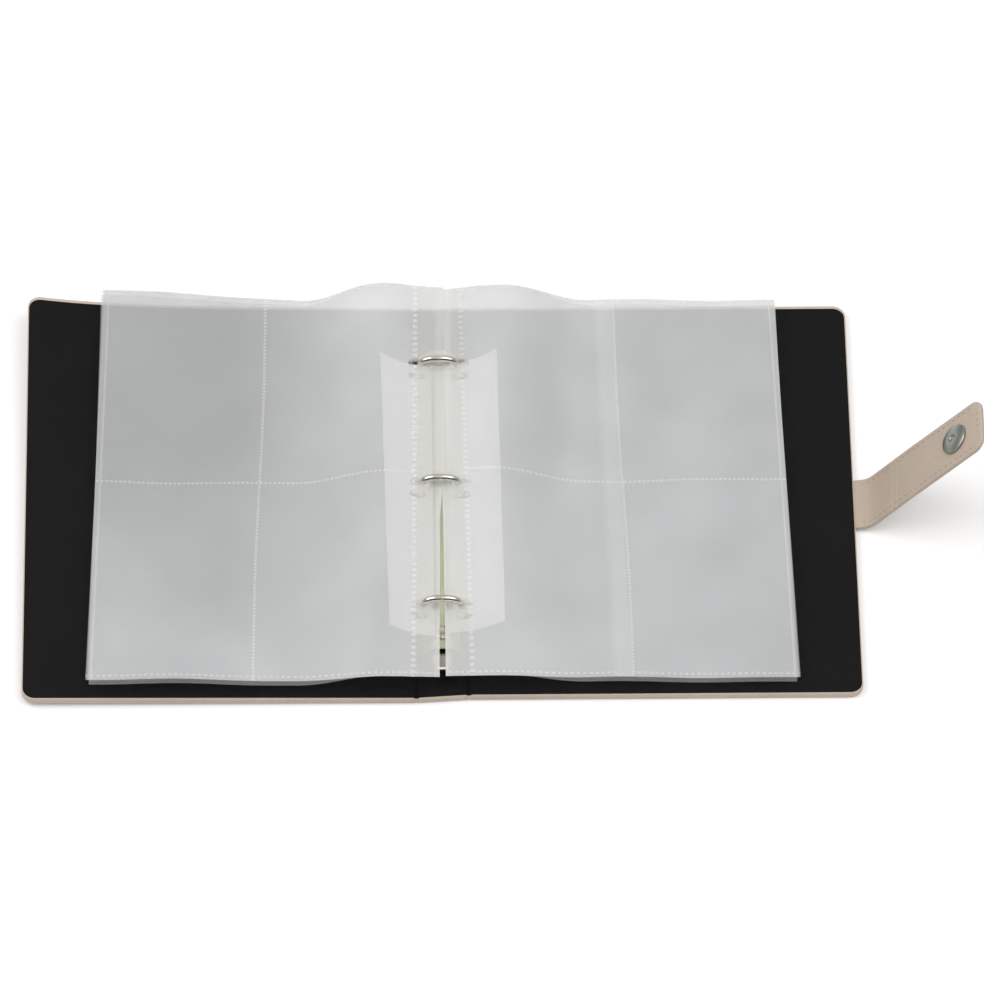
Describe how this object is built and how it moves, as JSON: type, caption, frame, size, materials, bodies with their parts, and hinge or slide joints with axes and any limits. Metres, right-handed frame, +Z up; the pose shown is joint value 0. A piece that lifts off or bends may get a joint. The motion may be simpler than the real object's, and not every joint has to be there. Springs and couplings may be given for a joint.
{
  "type": "ring photo album",
  "caption": "Open ring-bound photo album with leatherette covers, frosted pocket pages, page lifters, a snap-ring mechanism and a strap with a magnetic snap.",
  "frame": {"origin": "middle of the spine's outer face, on the surface that the open album lies on", "axes": "+X across the open album from front cover to back cover, +Y along the spine away from the reader, +Z up"},
  "size_m": [0.3578, 0.186, 0.0508],
  "materials": {
    "leatherette": "fine-grained beige leatherette, satin",
    "greyboard": "raw greyboard",
    "black_lining": "matte black lining paper",
    "frosted_film": "frosted clear polypropylene film",
    "white_film": "translucent white polypropylene",
    "nickel": "bright nickel plating",
    "zinc_steel": "zinc-plated steel"
  },
  "bodies": {
    "spine": {"spine_skin": "leatherette", "spine_board": "greyboard", "spine_lining": "black_lining", "ring_cover_plate": "nickel", "plate_rivet_far": "nickel", "plate_rivet_near": "nickel"},
    "front_cover": {"front_cover_skin": "leatherette", "front_cover_board": "greyboard", "front_cover_lining": "black_lining", "snap_stud": "nickel"},
    "back_cover": {"back_cover_skin": "leatherette", "back_cover_board": "greyboard", "back_cover_lining": "black_lining"},
    "left_rings": {"left_carrier_plate": "zinc_steel", "ring_far_left": "nickel", "ring_middle_left": "nickel", "ring_near_left": "nickel"},
    "right_rings": {"right_carrier_plate": "zinc_steel", "ring_far_right": "nickel", "ring_middle_right": "nickel", "ring_near_right": "nickel"},
    "lever": {"opening_lever": "nickel"},
    "left_lifter": {"left_page_lifter": "white_film"},
    "right_lifter": {"right_page_lifter": "white_film"},
    "left_pages": {"left_sheet_1": "frosted_film", "left_sheet_2": "frosted_film", "left_sheet_3": "frosted_film", "left_sheet_4": "frosted_film"},
    "right_pages": {"right_sheet_1": "frosted_film", "right_sheet_2": "frosted_film", "right_sheet_3": "frosted_film", "right_sheet_4": "frosted_film", "right_sheet_5": "frosted_film"},
    "leaf": {"left_leaf": "frosted_film"},
    "strap_base": {"strap_base_outer": "leatherette", "strap_base_inner": "leatherette"},
    "strap_tab": {"strap_tab_outer": "leatherette", "strap_tab_inner": "leatherette", "snap_socket": "nickel", "snap_magnet": "zinc_steel"}
  },
  "joints": [
    {"name": "front_cover_hinge", "type": "hinge", "parent": "spine", "child": "front_cover", "pos_m": [-0.0097, 0, 0.003], "axis": [0, 1, 0], "range_deg": [0, 88.51], "deforming": ["left_sheet_1", "left_sheet_2"]},
    {"name": "back_cover_hinge", "type": "hinge", "parent": "spine", "child": "back_cover", "pos_m": [0.0097, 0, 0.003], "axis": [0, -1, 0], "range_deg": [0, 90], "deforming": ["right_sheet_1", "right_sheet_2"]},
    {"name": "left_pages_turn", "type": "hinge", "parent": "spine", "child": "left_pages", "pos_m": [-0.00261, 0, 0.01537], "axis": [0, 1, 0], "range_deg": [0, 88.51]},
    {"name": "right_pages_turn", "type": "hinge", "parent": "spine", "child": "right_pages", "pos_m": [0.00261, 0, 0.01537], "axis": [0, -1, 0], "range_deg": [0, 90]},
    {"name": "leaf_turn", "type": "hinge", "parent": "left_pages", "child": "leaf", "pos_m": [-0.0003, 0, 0.0149], "axis": [0, -1, 0], "range_deg": [-108, 0]},
    {"name": "left_lifter_turn", "type": "hinge", "parent": "spine", "child": "left_lifter", "pos_m": [-0.00288, 0, 0.01253], "axis": [0, 1, 0], "range_deg": [0, 66.92]},
    {"name": "right_lifter_turn", "type": "hinge", "parent": "spine", "child": "right_lifter", "pos_m": [0.00288, 0, 0.01253], "axis": [0, -1, 0], "range_deg": [0, 68.05]},
    {"name": "left_rings_open", "type": "hinge", "parent": "spine", "child": "left_rings", "pos_m": [-0.0049, 0, 0.0039], "axis": [0, 1, 0], "range_deg": [-8, 0], "stiffness_Nm_per_rad": 0.06},
    {"name": "right_rings_open", "type": "hinge", "parent": "spine", "child": "right_rings", "pos_m": [0.0049, 0, 0.0039], "axis": [0, 1, 0], "range_deg": [0, 8]},
    {"name": "lever_press", "type": "hinge", "parent": "spine", "child": "lever", "pos_m": [0, -0.0738, 0.0054], "axis": [1, 0, 0], "range_deg": [0, 20]},
    {"name": "strap_root_bend", "type": "hinge", "parent": "back_cover", "child": "strap_base", "pos_m": [0.157, 0, 0.0016], "axis": [0, -1, 0], "range_deg": [-39, 46]},
    {"name": "strap_tab_bend", "type": "hinge", "parent": "strap_base", "child": "strap_tab", "pos_m": [0.17728, 0, 0.02119], "axis": [0, -1, 0], "range_deg": [-11.3, 83.7]}
  ],
  "couplings": [
    {"joint": "left_pages_turn", "follows": "front_cover_hinge", "ratio": 1},
    {"joint": "left_lifter_turn", "follows": "front_cover_hinge", "ratio": 0.75556},
    {"joint": "right_pages_turn", "follows": "back_cover_hinge", "ratio": 1},
    {"joint": "right_lifter_turn", "follows": "back_cover_hinge", "ratio": 0.75556},
    {"joint": "right_rings_open", "follows": "left_rings_open", "ratio": -1},
    {"joint": "lever_press", "follows": "left_rings_open", "ratio": -2.5}
  ]
}
